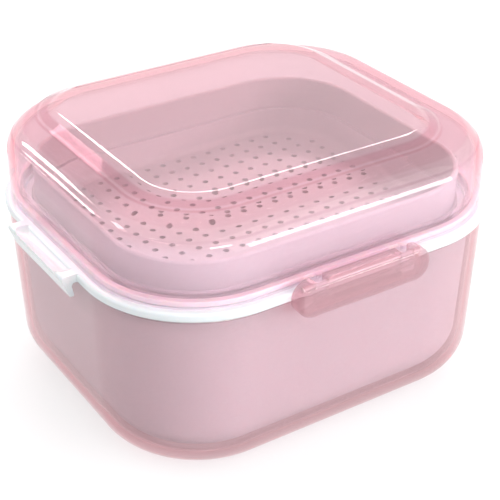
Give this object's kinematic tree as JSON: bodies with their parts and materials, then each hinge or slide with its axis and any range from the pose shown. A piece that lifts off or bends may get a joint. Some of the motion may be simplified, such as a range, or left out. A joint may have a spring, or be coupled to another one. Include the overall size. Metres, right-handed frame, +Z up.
{
  "type": "denture case",
  "caption": "Rounded clear pink soaking case for dentures with a frosted liner, white carry ring, drop-in strainer tray and hinged, latched lid.",
  "frame": {"origin": "middle of the tub's flat underside, on the table", "axes": "+X to the right, +Y from the latch to the hinge, +Z up"},
  "size_m": [0.1068, 0.0978, 0.0624],
  "materials": {
    "clear_tub": "clear, glossy",
    "clear_lid": "clear, glossy",
    "clear_latch": "clear, glossy",
    "frosted_liner": "frosted",
    "frosted_tray": "frosted",
    "white_ring": "smooth",
    "silicone": "soft, translucent",
    "pin_steel": "drawn"
  },
  "bodies": {
    "base": {"base_tub": "clear_tub", "inner_liner": "frosted_liner", "carry_ring": "white_ring", "ring_seal": "silicone", "hinge_pin": "pin_steel"},
    "tray": {"strainer_tray": "frosted_tray"},
    "lid": {"lid_shell": "clear_lid", "lid_seal": "silicone", "latch_pin": "pin_steel"},
    "latch": {"front_latch": "clear_latch"}
  },
  "joints": [
    {"name": "lid_hinge", "type": "hinge", "parent": "base", "child": "lid", "pos_m": [0, 0.0474, 0.043], "axis": [-1, 0, 0], "range_deg": [0, 110]},
    {"name": "latch_hinge", "type": "hinge", "parent": "lid", "child": "latch", "pos_m": [0, -0.0456, 0.0446], "axis": [-1, 0, 0], "range_deg": [0, 105]},
    {"name": "tray_lift", "type": "slide", "parent": "base", "child": "tray", "axis": [0, 0, 1], "range_m": [0, 0.0015]}
  ]
}
